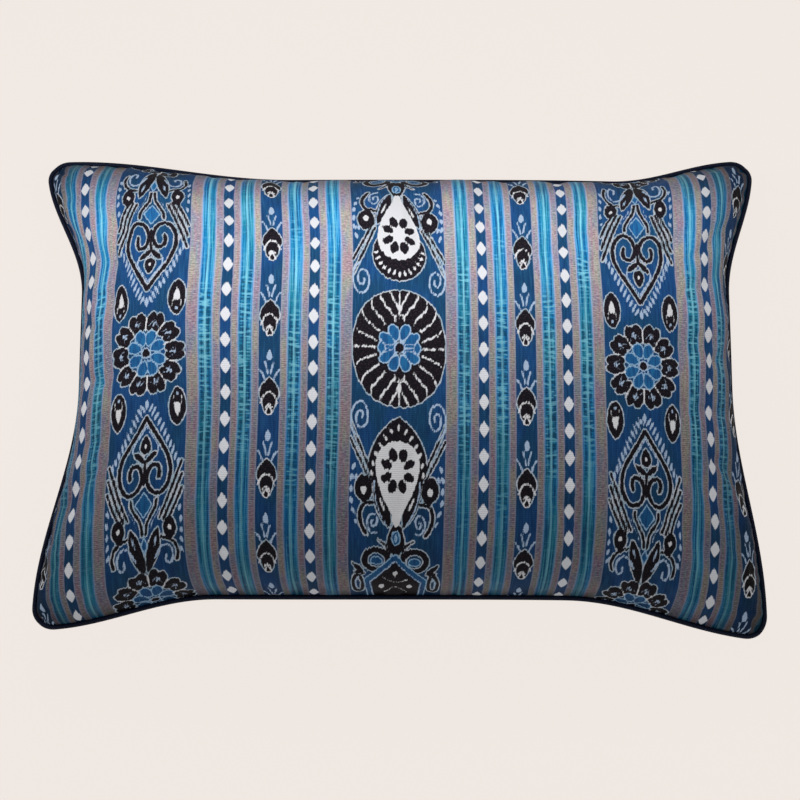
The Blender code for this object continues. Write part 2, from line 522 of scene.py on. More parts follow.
def between(grid, column, row):
    """Places between the points of a grid, on smooth curves through them."""
    for _ in range(2):
        grid = with_ends(grid).swapaxes(0, 1)
    i, weights_i = knot_weights(column, grid.shape[0] - 2)
    j, weights_j = knot_weights(row, grid.shape[1] - 2)
    total = 0
    for k, weight_i in enumerate(weights_i):
        for n, weight_j in enumerate(weights_j):
            total = total + (weight_i * weight_j)[..., None] * grid[i + k, j + n]
    return total


def smooth_line(points):
    """A smooth line through a few points."""
    points = np.array(points, float)
    place = np.linspace(0, len(points) - 1, LINE_STEPS * (len(points) - 1) + 1)
    first, weights = knot_weights(place, len(points))
    return sum(weight[:, None] * with_ends(points)[first + k] for k, weight in enumerate(weights))


def bands():
    """The stripes and panels of the cloth, each with its kind, middle and half width."""
    flame, rosette = table("kind width", ("flame", FLAME_PANEL), ("rosette", ROSETTE_PANEL))
    group = [*BAND_GROUP, flame, *BAND_GROUP[::-1]]
    edge = MEDALLION_PANEL / 2
    found = [Row(kind="medallion", middle=PATTERN_MIDDLE, half=edge)]
    for band in [*group, rosette, *group]:
        half = band.width / 2
        for side in (-1, 1):
            found.append(Row(kind=band.kind, middle=PATTERN_MIDDLE + side * (edge + half), half=half))
        edge += band.width
    return sorted(found, key=lambda band: band.middle)


def column_places():
    """Places of the fine grid's columns: on every stripe's edges and middle, and close in the panels."""
    places = []
    for band in bands():
        halves = math.ceil(band.half / (MOTIF_STEP if band.kind in PANELS else BAND_STEP))
        places += [band.middle + band.half * k / halves for k in range(-halves, halves)]
    half = CLOTH_LENGTH / 2
    inside = [place for place in places if abs(place) < half - MOTIF_STEP]
    return np.array([-half] + inside + [half])


def bowed(x, y):
    """Where a straight stripe of the cloth really runs: it bows outwards at the pillow's middle height."""
    moved = x * np.where(x < 0, LEFT_BOW, RIGHT_BOW) * (1 - ((y - BOW_MIDDLE) / BOW_REACH) ** 2)
    for pull in PULLS:
        beside, above = x - pull.x, y - pull.y
        reach = np.where(beside * pull.x > 0, pull.outer, pull.inner)
        moved = moved + pull.shift * np.exp(-(beside / reach) ** 2 - (above / pull.tall) ** 2)
    square = np.clip((CLOTH_LENGTH / 2 - abs(x)) / SQUARE_EDGE, 0, 1)
    return x + moved * square * square * (3 - 2 * square)


def weft_row(x, y):
    """Distance along the stripes from the row of diamonds next to the middle."""
    return y - WEFT_ROW + WEFT_WANDER * np.sin(2 * np.pi * (x - WEFT_START) / WEFT_LENGTH)


def pointer(turn):
    """How far across and up a hand of a clock reaches that is 1 long, at this angle in degrees."""
    return math.sin(math.radians(turn)), math.cos(math.radians(turn))


def placed(across, up, x, y, turn):
    """An outline whose upper end leans towards +x by an angle in degrees, moved to its place."""
    sine, cosine = pointer(turn)
    return np.stack([across * cosine + up * sine, up * cosine - across * sine], 1) + (x, y)


def angles(count):
    """Angles all the way round, clockwise from straight up."""
    return np.linspace(0, 2 * np.pi, count, endpoint=False)


def spiral(x, y, half_width, half_height, turns, start):
    """An open line that winds inwards to the middle of an oval."""
    share = np.linspace(0, 1, int(SPIRAL_POINTS * turns) + 1)
    angle = math.radians(start) + 2 * np.pi * turns * share
    size = 1 - (1 - SPIRAL_END) * share
    return np.stack([x + half_width * size * np.sin(angle), y + half_height * size * np.cos(angle)], 1)


class Ink:
    """The shapes of one ink: the distance in mm from each point to them, negative inside.

    A closed shape is filled, or with a rim only its outline is drawn, this far to both sides.
    """

    def __init__(self, draw):
        self.draw = draw
        self.distance = np.full(draw.x.shape, FAR)

    def add(self, near, distance):
        self.distance[near] = np.minimum(self.distance[near], distance)

    def measure(self, line, closed):
        """Which points are near a line, and their distance to it."""
        low, high = line.min(0) - REACH, line.max(0) + REACH
        x, y = self.draw.x, self.draw.y
        near = (x > low[0]) & (x < high[0]) & (y > low[1]) & (y < high[1])
        x, y = x[near], y[near]
        distance, inside = np.full(x.shape, FAR), np.zeros(x.shape, bool)
        ends = np.roll(line, -1, 0) if closed else line[1:]
        for (ax, ay), (bx, by) in zip(line, ends):
            dx, dy = bx - ax, by - ay
            share = np.clip(((x - ax) * dx + (y - ay) * dy) / max(dx * dx + dy * dy, TINY), 0, 1)
            distance = np.minimum(distance, np.hypot(x - ax - share * dx, y - ay - share * dy))
            if closed and ay != by:
                crosses = (ay > y) != (by > y)
                inside ^= crosses & (x < ax + (y - ay) / dy * dx)
        return near, np.where(inside, -distance, distance)

    def line(self, half_width, line):
        near, distance = self.measure(line, False)
        self.add(near, abs(distance) - half_width)

    def curve(self, half_width, *points):
        """A line that runs smoothly through a few points."""
        self.line(half_width, smooth_line(points))

    def shape(self, outline, rim):
        near, distance = self.measure(outline, True)
        self.add(near, distance if rim is None else abs(distance) - rim)

    def drop(self, x, y, half_width, height, turn=0, sharp=2, rim=None):
        """Round below and pointed above."""
        angle = angles(DROP_POINTS)
        across = np.sin(angle) * np.sin(angle / 2) ** sharp
        self.shape(placed(half_width * across / across.max(), height / 2 * np.cos(angle), x, y, turn), rim)

    def leaf(self, x, y, half_width, length, turn=0, point=1.0):
        """From an oval, at point 0, to a leaf with two sharp ends, at point 1."""
        angle = angles(OVAL_POINTS)
        across = half_width * np.sin(angle) * abs(np.sin(angle)) ** point
        self.shape(placed(across, length / 2 * np.cos(angle), x, y, turn), None)

    def oval(self, x, y, half_width, half_height, turn=0, rim=None):
        angle = angles(OVAL_POINTS)
        self.shape(placed(half_width * np.sin(angle), half_height * np.cos(angle), x, y, turn), rim)

    def lozenge(self, x, y, half_width, half_height, rim=None):
        corners = [(x, y - half_height), (x + half_width, y), (x, y + half_height), (x - half_width, y)]
        self.shape(np.array(corners), rim)

    def gable(self, apex, eave, half_width, foot, rim=None):
        """Like a house: its roof meets upright sides at the eaves."""
        right = [(0, apex), (half_width, eave), (half_width * 0.88, foot)]
        self.shape(np.array(right + [(-x, y) for x, y in right[:0:-1]]), rim)


class Drawing:
    """Points of the cloth, in mm from a motif's middle, and the inks that the motif is drawn with."""

    def __init__(self, x, y):
        self.x, self.y = x, y
        self.dark, self.flower, self.light, self.pale, self.core, self.white = (Ink(self) for _ in INKS)


# The motifs, in mm from each one's middle. A shape is given by its place, its half width, its height
# (an oval's or a lozenge's half height) and its lean in degrees, and a line by its half width and its
# points. Only the right half is drawn, and the left half mirrors it.
def rosette(draw, row):
    """A ring of ten double-lobed black petals round a blue flower."""
    for turn in range(18, 180, 36):
        across, up = pointer(turn)
        x, y = 22.6 * across, 25.6 * up
        for side in (-3.1, 3.1):
            draw.dark.oval(x + side * up, row + y - side * across, 4.3, 7.7, turn)
        draw.pale.drop(0.93 * x, row + 0.93 * y, 0.7, 4.4, 180 + turn, 1.2)
        inner_x, inner_y = 0.84 * x, row + 0.84 * y
        draw.pale.curve(0.1, (inner_x + 4 * up, inner_y - 4 * across), (1.08 * x, row + 1.08 * y),
                        (inner_x - 4 * up, inner_y + 4 * across))
    for turn in range(0, 216, 36):
        across, up = pointer(turn)
        draw.light.curve(0.45, (15 * across, row + 17.6 * up), (25 * across, row + 28.5 * up))
    for turn in np.arange(-22.5, 225, 45):
        across, up = pointer(turn)
        draw.flower.drop(9.8 * across, row + 12.2 * up, 4.3, 12.6, 180 + turn, 0.6)
    draw.pale.oval(0, row, 3.9, 4.1)
    draw.core.oval(0, row, 3.1, 3.3)


def bud(draw, x, row):
    """A black bud, pointed at both ends, with a white flame over a small black bud in it."""
    draw.dark.leaf(x, row, 6.6, 29, point=0.35)
    draw.light.drop(x, row + 2.6, 2.3, 11, sharp=1.2)
    draw.core.drop(x, row - 4.6, 1.9, 7)
    draw.pale.drop(x, row - 8.6, 0.9, 4)
    for side in (-1, 1):
        draw.light.curve(0.2, (x + 1.2 * side, row + 0.6), (x + 3.4 * side, row - 3.4),
                         (x + 3 * side, row - 7.6))


def heart(draw):
    """A heart of one black band that curls inwards from its lobes, with leaves and rays about it."""
    draw.dark.curve(1.6, (0, 50.5), (5, 58.5), (11.5, 68.5), (17.6, 79), (20.2, 89), (18.8, 99.5),
                    (13, 107), (6.2, 105.5), (2.2, 98.5), (2.4, 91.5), (5.6, 86.4), (10.2, 86.6),
                    (11.9, 91), (11.2, 95.5))
    draw.dark.curve(1.2, (0, 83), (0, 100))
    draw.pale.curve(0.5, (0, 56.6), (5, 64), (9.6, 71), (9.9, 76))
    draw.dark.drop(0, 70.4, 4.2, 14, 180, 0.7)
    draw.light.oval(0, 71.6, 0.9, 1.5)
    draw.dark.leaf(4.5, 80, 2.2, 12.4, 132, 0.3)
    for share in np.linspace(0, 1, 11):
        draw.pale.leaf(3.4 + 22.6 * share, 43 + 42.5 * share ** 1.15, 0.9, 8, 24 * share - 32)
    draw.pale.leaf(0, 40.5, 1.3, 7.5)


def stem(draw):
    """From the heart's lobes to the next rosette: lozenges, leaves, dotted buds and hooked scrolls."""
    draw.flower.lozenge(0, 115.5, 6.6, 9.6)
    draw.dark.curve(1.2, (9.8, 112), (9.2, 117), (6, 123), (2.6, 129.5), (1.3, 138))
    draw.pale.curve(0.15, (13, 117), (11, 122), (7.2, 128), (5.4, 134))
    draw.flower.lozenge(0, 146, 2.6, 6.4)
    draw.dark.leaf(6.2, 151, 4.7, 38, -15, 0.6)
    draw.pale.leaf(8.6, 143.5, 0.7, 9, -15)
    for k, high in enumerate((126, 127, 128)):
        low, inner = 84 + 10 * k, 12.6 + 3.2 * k
        draw.dark.curve(1.1, (28.8 + 0.4 * k, low), (0.55 * inner + 14.2, (low + high) / 2), (inner, high))
    draw.dark.leaf(20.2, 133.5, 5, 18, point=0.35)
    draw.light.oval(20.2, 133, 1.4, 2)
    draw.dark.curve(1.2, (14, 140.5), (18.5, 142), (23.2, 146), (25.6, 153), (24.2, 160))
    draw.pale.curve(0.7, (7.6, 157), (11.4, 149.5), (16.2, 146.6), (20.4, 150), (21.6, 156.5), (19.2, 162.5),
                    (16, 161), (16.4, 156.4))
    for x, y, turn in ((28.3, 119, -14), (29, 127.5, -6), (29, 136, 6), (28.8, 144, 14), (28.4, 151.5, 22)):
        draw.pale.leaf(x, y, 1.05, 6, turn)


def rosette_panel(across, up):
    """Rosettes with a heart, its stem and two buds between them, the same above and below."""
    draw = Drawing(across, abs(up - ROSETTE_ROW))
    rosette(draw, 0)
    rosette(draw, ROSETTE_PITCH)
    bud(draw, 24, 43)
    heart(draw)
    stem(draw)
    return draw


def medallion(draw):
    """A black oval with white spokes, which meet in arches above and below a blue flower."""
    half_width, half_height = MEDALLION_SIZE
    across, up = draw.x / half_width, draw.y / half_height
    size = (across ** MEDALLION_POWER + up ** MEDALLION_POWER) ** (1 / MEDALLION_POWER)
    slope = np.hypot(across / half_width, up / half_height)
    angle = np.arctan2(across, up)
    to_arch = angle < np.pi / 4
    sweep = np.where(to_arch, SWEEP_TO_ARCH * np.cos(2 * angle) ** 2, SWEEP_AT_SIDES * np.sin(4 * angle))
    steep = np.where(to_arch, -2 * SWEEP_TO_ARCH * np.sin(4 * angle), 4 * SWEEP_AT_SIDES * np.cos(4 * angle))
    inwards = np.maximum(1 - size, 0)
    spread = np.maximum(1 + steep * inwards + 2 * SPOKE_BULGE * np.cos(2 * angle), LEAST_SPREAD)
    bulge = SPOKE_BULGE * (1 - 0.5 * swell(inwards, BULGE_INSET)) * np.sin(2 * angle)
    wobble = 0.01 * np.sin(size * 34 + angle * 9)
    off_spoke = abs(np.sin(SPOKES * (angle + sweep * inwards + bulge + wobble)))
    edge = size * (size - 1) / np.maximum(slope, TINY) - SCALLOP * off_spoke
    draw.dark.add(..., np.clip(edge, -FAR, FAR))
    spoke = off_spoke / (SPOKES * spread) * size * (half_width + half_height) / 2 - SPOKE_HALF_WIDTH
    spoke = np.minimum(spoke, np.maximum(draw.x - 0.4, ARCH_ROW - draw.y))
    draw.light.add(..., np.maximum(spoke, np.maximum(edge, (SPOKE_END - size) * half_height)))
    draw.light.curve(0.35, (3.6, 20.5), (3.4, 24.5), (0, ARCH_ROW))
    draw.flower.oval(6.5, 0, 6, 5)
    draw.pale.curve(0.25, (4, 0), (10.8, 0))
    for ink, rim in ((draw.flower, None), (draw.pale, 0.25)):
        for turn in (20, 57, 123, 160):
            across, up = pointer(turn)
            ink.drop(11.2 * across, 12.4 * up, 4, 13.4, 180 + turn, 0.5, rim)
        ink.lozenge(13.8, 0, 3.2, 6.4, rim)
    draw.pale.oval(0, 0, 3.8, 4, rim=0.4)
    draw.core.oval(0, 0, 3.2, 3.4)


def bowl(draw):
    """The black bowl round the upper drop's end, edged with dashes."""
    draw.dark.oval(0, 76, 20.6, 22.5)
    for turn in range(0, 80, 13):
        across, up = pointer(turn)
        draw.light.drop(18.3 * across, 82 - 22.6 * up, 1.05, 4.6, -turn, 0.8)


def hood(draw):
    """The black hood over the lower drop, pointed where the bowl is round."""
    draw.dark.drop(0, 83.5, 22, 60, 180, 0.5)
    for x, y, turn in ((0, 61, 0), (5.4, 64, -30), (9.8, 68.5, -36), (13.6, 74.5, -32), (16.8, 81, -24),
                       (18.8, 88, -14), (19.6, 95.5, -4)):
        draw.light.leaf(x, y, 0.95, 5, turn, 0.5)


def crested_drop(draw):
    """A white drop with a black flower between two black leaves."""
    draw.light.drop(0, 102, 16.6, 62, sharp=1.3)
    draw.light.oval(0, 127, 3.5, 7.5)
    for x, y, wide, tall, turn in ((3.8, 11.6, 3.4, 10.6, 12), (8.6, 4.8, 3.2, 9.8, 56)):
        for up in (1, -1):
            draw.core.leaf(x, 93 + up * y, wide, tall, up * turn, 0.25)
    draw.dark.leaf(11, 119, 5, 35, -19, 0.6)
    draw.light.leaf(11, 118, 0.8, 12, -22)
    draw.pale.curve(0.4, (17.4, 101), (16.6, 112), (13, 124), (7.5, 134))
    draw.dark.drop(0, 144, 6.6, 27, 180, 0.7)
    draw.flower.oval(0, 143.5, 1.9, 4.2, rim=1.3)


def tent_and_scrolls(draw):
    """Slanting double lines, dotted buds, hooked scrolls, spirals and dashes beside the drop."""
    draw.dark.curve(0.95, (36.4, 57.5), (28, 77), (18.4, 99))
    draw.dark.curve(0.95, (36.2, 70), (27.5, 87.5), (19.2, 104))
    draw.dark.leaf(25.2, 107, 6.6, 21, -8, 0.5)
    draw.light.oval(25.2, 108, 2, 2.9)
    draw.dark.curve(1.4, (18.2, 117), (24.8, 118.5), (27.6, 125.5), (26.2, 134), (22.5, 141))
    draw.pale.line(0.6, spiral(17.4, 131.5, 5.6, 9, 1.5, 330))
    draw.pale.line(0.6, spiral(28.8, 54, 8.1, 15, 1.8, 10))
    for x, y, turn in ((32.6, 124, -24), (34.2, 116, -16), (34.6, 107.5, -8), (34.6, 99, 10), (33, 91, 20)):
        draw.pale.leaf(x, y, 1.2, 6, turn)
    for x, y, turn in ((30.4, 131.5, -30), (31.2, 98.5, 6)):
        draw.pale.leaf(x, y, 1, 5, turn)


def crest(draw):
    """The black gable with white dots at the end of the medallion panel, between arches and curls."""
    draw.dark.curve(0.9, (4.5, 157), (8, 149.5), (13, 145.5))
    draw.dark.oval(14.6, 162, 9, 8.6, rim=2.3)
    draw.flower.oval(14.6, 162.4, 4.6, 3.4)
    draw.dark.leaf(28.6, 169.5, 2, 13, -48, 0.8)
    draw.dark.leaf(27.6, 174, 1.8, 9, -80, 0.8)
    draw.dark.oval(29.2, 188, 3.6, 11.5, rim=1.5)
    draw.pale.curve(0.5, (28, 178), (31, 184), (30.6, 193))
    draw.flower.gable(156.5, 181, 24.5, 216)
    draw.pale.gable(162.5, 184, 19.6, 216, rim=0.5)
    draw.core.gable(163.2, 184.4, 19, 214)
    draw.white.drop(0, 174.5, 2, 6.2)
    draw.white.oval(11, 190, 2.1, 3.2)
    draw.white.curve(0.45, (0, 184.3), (5, 183), (9.8, 179.3))
    draw.white.curve(0.45, (0, 191), (4.8, 194.5), (9, 201))


def medallion_panel(across, up):
    """The middle panel, the same above and below apart from the bowl and the hood."""
    draw = Drawing(across, abs(up - MEDALLION_ROW))
    medallion(draw)
    crested_drop(draw)
    tent_and_scrolls(draw)
    crest(draw)
    draw.y = up - MEDALLION_ROW
    bowl(draw)
    draw.y = MEDALLION_ROW - up
    hood(draw)
    return draw


def flame_panel(across, up):
    """A black bud with a sprout of small leaves, repeated up the stripe."""
    foot = FLAME_FOOT * FLAME_PITCH
    draw = Drawing(across, (up - FLAME_ROW + foot) % FLAME_PITCH - foot)
    draw.dark.drop(0, 2.6, 7.4, 19.5, sharp=0.8)
    draw.dark.leaf(0, -7, 4.9, 18, point=0.35)
    draw.light.curve(0.55, (6.4, -7.6), (4, -1.6), (0, 1), (-4, -1.6), (-6.4, -7.6))
    draw.light.curve(0.5, (2.6, -10.8), (0, -8.2), (-2.6, -10.8))
    draw.light.drop(0, -12.8, 2.9, 7.6)
    draw.core.drop(0, -13.2, 1.8, 5.6)
    draw.pale.drop(0, 29.6, 2, 8, sharp=0.8)
    draw.pale.curve(0.55, (0.9, 15), (1.7, 19), (3.2, 24.4))
    draw.pale.curve(0.6, (3.6, 10.6), (5, 14.6), (7.6, 18.2))
    return draw


PANELS = {"medallion": medallion_panel, "rosette": rosette_panel, "flame": flame_panel}


def yarn_slips(columns, rows):
    """How far each warp yarn slipped before it was dyed, in mm: this feathers the ikat's edges."""
    slow = np.random.default_rng(SLIP_SEED).normal(0, 1, (len(columns), SLIP_KNOTS))
    place = (rows - rows[0]) / (rows[-1] - rows[0]) * (SLIP_KNOTS - 1)
    knot = np.minimum(place.astype(int), SLIP_KNOTS - 2)
    share = place - knot
    smooth = share * share * (3 - 2 * share)
    return YARN_SLIP * (slow[:, knot] * (1 - smooth) + slow[:, knot + 1] * smooth)


def pattern(x, y, slips):
    """All distances, in mm, that the cover's material draws from, for points of the cloth."""
    found = bands()
    values = {name: np.full(x.shape, FAR) for name in INKS}
    for kind in ("turquoise", "diamond"):
        values[kind + "_off"] = np.min([abs(x - band.middle) for band in found if band.kind == kind], axis=0)
    panels = [band for band in found if band.kind in PANELS]
    values["panel_off"] = np.min([abs(x - band.middle) - band.half for band in panels], axis=0)
    for band in panels:
        here = abs(x - band.middle) < band.half + REACH
        draw = PANELS[band.kind](abs(x[here] - band.middle), (y + slips)[here])
        for name in INKS:
            values[name][here] = np.minimum(values[name][here], getattr(draw, name).distance)
    return values


def normals_of(places):
    """Unit vectors square to a grid of places."""
    across = np.cross(np.gradient(places, axis=0), np.gradient(places, axis=1))
    return across / length_of(across)


def gathers(x, y):
    """Height of the small gathers beside the seam, in metres, at points of the cloth."""
    from_side, from_end = CLOTH_LENGTH / 2 - abs(x), CLOTH_WIDTH / 2 - abs(y)
    total = 0
    for inset, along, start in ((from_side, y, np.sign(x)), (from_end, x, 2 + np.sign(y))):
        ripple = 0
        for k, length in enumerate(GATHER_LENGTHS, 2):
            ripple = ripple + np.sin(2 * np.pi * along / length + start * k)
        uneven = 0.6 + 0.4 * np.sin(along / GATHER_PATCH + start)
        total = total + ripple / len(GATHER_LENGTHS) * uneven * swell(inset, GATHER_REACH)
    return GATHER_DEPTH * total


def make_piece(name, places, faces, attributes, material):
    """A smooth piece with values on its points that its material reads."""
    mesh = bpy.data.meshes.new(name)
    mesh.from_pydata(places.reshape(-1, 3).tolist(), [], faces.tolist())
    for label, values in attributes.items():
        layer = mesh.attributes.new(label, "FLOAT", "POINT")
        layer.data.foreach_set("value", values.astype(np.float32).ravel())
    mesh.shade_smooth()
    mesh.materials.append(material)
    return added(name, mesh)


def even_places(size, step):
    """Places from one edge of a panel to the other, about a step apart."""
    return np.linspace(-size / 2, size / 2, round(size / step) + 1)


def make_panel(name, grid, x, y, lies_at, attributes, outwards, material):
    """A sewn panel from its points in the cut cloth, gathered beside the seam, with its cloth unwrapped."""
    places = between(grid, (lies_at + CLOTH_LENGTH / 2) / CELL, (y + CLOTH_WIDTH / 2) / CELL)
    places = places + outwards * normals_of(places) * gathers(x, y)[..., None]
    places[..., 2] = np.maximum(places[..., 2], 0)
    faces = quads_of(np.arange(x.size).reshape(x.shape), flip=outwards < 0)
    attributes = {"cloth_x": x, "cloth_y": y, **attributes}
    piece = make_piece(name, places, faces, attributes, material)
    unwrap = np.stack([lies_at / CLOTH_LENGTH + 0.5, y / CLOTH_WIDTH + 0.5], -1).reshape(-1, 2)
    corners = np.zeros(len(piece.data.loops), np.int32)
    piece.data.loops.foreach_get("vertex_index", corners)
    layer = piece.data.uv_layers.new(name="OFBake")
    layer.data.foreach_set("uv", unwrap[corners].astype(np.float32).ravel())
    return piece


def make_front(grid, material):
    """The patterned panel, finely gridded along the stripes."""
    columns, rows = column_places(), even_places(CLOTH_WIDTH, ROW_STEP)
    x, y = np.meshgrid(columns, rows, indexing="ij")
    lies_at, along = bowed(x, y), weft_row(x, y)
    middles = np.array([band.middle for band in bands() if band.kind == "turquoise"])
    nearest = middles[np.argmin([abs(x - middle) for middle in middles], axis=0)]
    insets = {"top": CLOTH_WIDTH / 2 - y, "bottom": CLOTH_WIDTH / 2 + y,
              "left": CLOTH_LENGTH / 2 + lies_at, "right": CLOTH_LENGTH / 2 - lies_at}
    insets["seam"] = np.min(list(insets.values()), axis=0)
    # Painted shade and light: darker towards the bottom and beside the sides and the seam, lighter a little
    # way above the bottom seam
    painted_shading = PAINTED_SHADING_PEAK * np.exp((y - PAINTED_LIGHT_ROW) / PAINTED_SHADING_FADE)
    for shade in PAINTED_SHADES:
        painted_shading = painted_shading * (1 - shade.share * np.exp(-(insets[shade.side] / shade.reach) ** 3))
    # Painted sheen: the satin bands are lighter along one row
    painted_sheen = 1 + PAINTED_SATIN_SHEEN * np.exp(-((y - PAINTED_LIGHT_ROW) / PAINTED_SHEEN_REACH) ** 2)
    attributes = {"cloth_y": along, "band_x": nearest, "painted_shading": painted_shading,
                  "painted_sheen": painted_sheen, **pattern(x, along, yarn_slips(columns, rows))}
    return make_panel("front_panel", grid, x, y, lies_at, attributes, 1, material)


def make_back(grid, material):
    """The plain panel that is never seen."""
    sides = even_places(CLOTH_LENGTH, BACK_STEP), even_places(CLOTH_WIDTH, BACK_STEP)
    x, y = np.meshgrid(*sides, indexing="ij")
    return make_panel("back_panel", grid, x, y, x, {}, -1, material)


def seam_line():
    """Places round the seam, evenly spaced, anticlockwise from above."""
    even, one = np.linspace(-1, 1, SEAM_POINTS), np.ones(SEAM_POINTS)
    sides = ((even, -one), (one, even), (even[::-1], one), (-one, even[::-1]))
    places = np.concatenate([cover(s[:-1], t[:-1], "face", False) for s, t in sides])
    places = np.concatenate([places, places[:1]])
    arc = arc_of(places)
    want = np.linspace(0, arc[-1], round(arc[-1] / SEAM_STEP), endpoint=False)
    return np.stack([np.interp(want, arc, places[:, axis]) for axis in range(3)], 1)


def outward(line):
    """Unit vectors in plan, square to a closed anticlockwise line and out of it."""
    step = np.roll(line, -1, 0) - np.roll(line, 1, 0)
    out = np.stack([step[:, 1], -step[:, 0], np.zeros(len(line))], 1)
    return out / length_of(out)


def frame_shift():
    """What the sewn cover is moved by: the middle of its piping comes over the origin."""
    line = seam_line()
    route = line + outward(line) * (PIPING_DIAMETER / 2 + GAP)
    return np.append(-(route.min(0) + route.max(0))[:2] / 2, 0)


def make_piping(shift, material):
    """The cord in its bias strip: it sits half in the seam between the two panels."""
    radius, line = PIPING_DIAMETER / 2, seam_line()
    out = outward(line)
    middle = line + out * (radius - PIPING_TUCK) + shift
    angle = angles(PIPING_SIDES)
    ring = np.cos(angle)[None, :, None] * out[:, None] + np.sin(angle)[None, :, None] * np.array([0, 0, 1.0])
    numbers = np.arange(len(line) * PIPING_SIDES).reshape(len(line), PIPING_SIDES)
    step = 1000 * np.linalg.norm(np.roll(line, -1, 0) - line, axis=1).mean()
    attributes = {"cloth_x": np.repeat(np.arange(len(line)) * step, PIPING_SIDES),
                  "cloth_y": np.tile(angle * radius * 1000, len(line))}
    faces = quads_of(np.pad(numbers, (0, 1), "wrap"))
    return make_piece("piping_cord", middle[:, None] + radius * ring, faces, attributes, material)


def shader_colour(screen_colour):
    """A screen colour, from 0 to 255, as a shader takes it."""
    parts = [value / 255 for value in screen_colour]
    return [part / 12.92 if part <= 0.04045 else ((part + 0.055) / 1.055) ** 2.4 for part in parts] + [1]


class Shader:
    """Short names for making and joining the nodes of one material."""

    def __init__(self, name):
        self.material = bpy.data.materials.new(name)
        self.material.use_nodes = True
        self.tree = self.material.node_tree

    def node(self, kind, **settings):
        made = self.tree.nodes.new(kind)
        for name, value in settings.items():
            setattr(made, name, value)
        return made

    def put(self, sockets, values):
        """Joins or sets the sockets of these names or numbers. A tuple is a screen colour."""
        for name, value in values.items():
            socket = sockets[name]
            if isinstance(value, bpy.types.NodeSocket):
                self.tree.links.new(value, socket)
            elif isinstance(value, tuple):
                socket.default_value = shader_colour(value)[:len(socket.default_value)]
            else:
                socket.default_value = value

    def surface(self, values):
        self.put(self.tree.nodes["Principled BSDF"].inputs, values)

    def math(self, operation, *values):
        made = self.node("ShaderNodeMath", operation=operation)
        self.put(made.inputs, dict(enumerate(values)))
        return made.outputs[0]

    def add(self, a, b):
        return self.math("ADD", a, b)

    def times(self, a, b):
        return self.math("MULTIPLY", a, b)

    def attribute(self, name):
        return self.node("ShaderNodeAttribute", attribute_name=name).outputs["Fac"]

    def below(self, value, edge, soft=0.25):
        """1 where the value is below an edge, 0 above it, with a soft step."""
        made = self.node("ShaderNodeMapRange", clamp=True)
        self.put(made.inputs, {"Value": value, "From Min": edge + soft, "From Max": edge - soft})
        return made.outputs["Result"]

    def above(self, value, edge, soft=0.25):
        return self.below(value, edge, -soft)

    def mix(self, share, a, b):
        made = self.node("ShaderNodeMix", data_type="RGBA")
        self.put(made.inputs, {"Factor": share, 6: a, 7: b})
        return made.outputs[2]

    def tint(self, colour, mask, share, ink):
        """Lays a share of a screen colour over a colour where the mask is 1."""
        return self.mix(self.times(mask, share), colour, ink)

    def scaled(self, colour, share):
        """A colour made darker or lighter by a share."""
        made = self.node("ShaderNodeVectorMath", operation="SCALE")
        self.put(made.inputs, {0: colour, "Scale": share})
        return made.outputs[0]

    def noise(self, x, y, scale_x, scale_y, seed, detail=2.0):
        """Noise whose spots are about one over the scale wide, in mm of cloth."""
        place = self.node("ShaderNodeCombineXYZ")
        self.put(place.inputs, {0: self.times(x, scale_x), 1: self.times(y, scale_y), 2: seed})
        made = self.node("ShaderNodeTexNoise", noise_dimensions="3D")
        self.put(made.inputs, {"Vector": place.outputs[0], "Scale": 1, "Detail": detail})
        return made.outputs["Fac"]

    def wave(self, value, length):
        """A sine from -1 to 1 with this length in mm."""
        return self.math("SINE", self.times(value, 2 * math.pi / length))

    def bump(self, height, strength, distance):
        made = self.node("ShaderNodeBump")
        self.put(made.inputs, {"Height": height, "Strength": strength, "Distance": distance})
        return made.outputs["Normal"]


def plain_bands(s, x, y, specks):
    """The greyish bands: long patches of beige, lilac, pink and green, crossed by weft ribs."""
    patches = s.noise(x, y, 0.06, 0.022, 8.0, 1.0)
    streaks = s.noise(x, y, 0.5, 0.04, 11.0)
    grain = s.noise(x, y, 0.35, 1.0, 14.0)
    warm = s.noise(x, y, 0.05, 0.03, 17.0, 1.0)
    colour = s.mix(s.below(patches, 0.5, 0.06), (150, 150, 178), (188, 178, 158))
    for mask, share, ink in (
        (s.below(warm, 0.46, 0.06), 0.6, (180, 146, 154)),
        (s.below(streaks, 0.45, 0.05), 0.6, (180, 134, 152)),
        (s.above(streaks, 0.56, 0.05), 0.6, (146, 168, 158)),
        (s.below(grain, 0.43, 0.06), 0.45, (88, 84, 100)),
        (s.above(grain, 0.57, 0.06), 0.5, (210, 202, 196)),
        (s.below(specks, 0.42, 0.05), 0.3, (84, 80, 104)),
        (s.below(s.wave(y, RIB_PITCH), -0.1, 0.6), 0.34, (84, 82, 104)),
        (s.below(s.wave(x, THREAD_PITCH), -0.2, 0.6), 0.2, (92, 90, 112)),
    ):
        colour = s.tint(colour, mask, share, ink)
    return colour


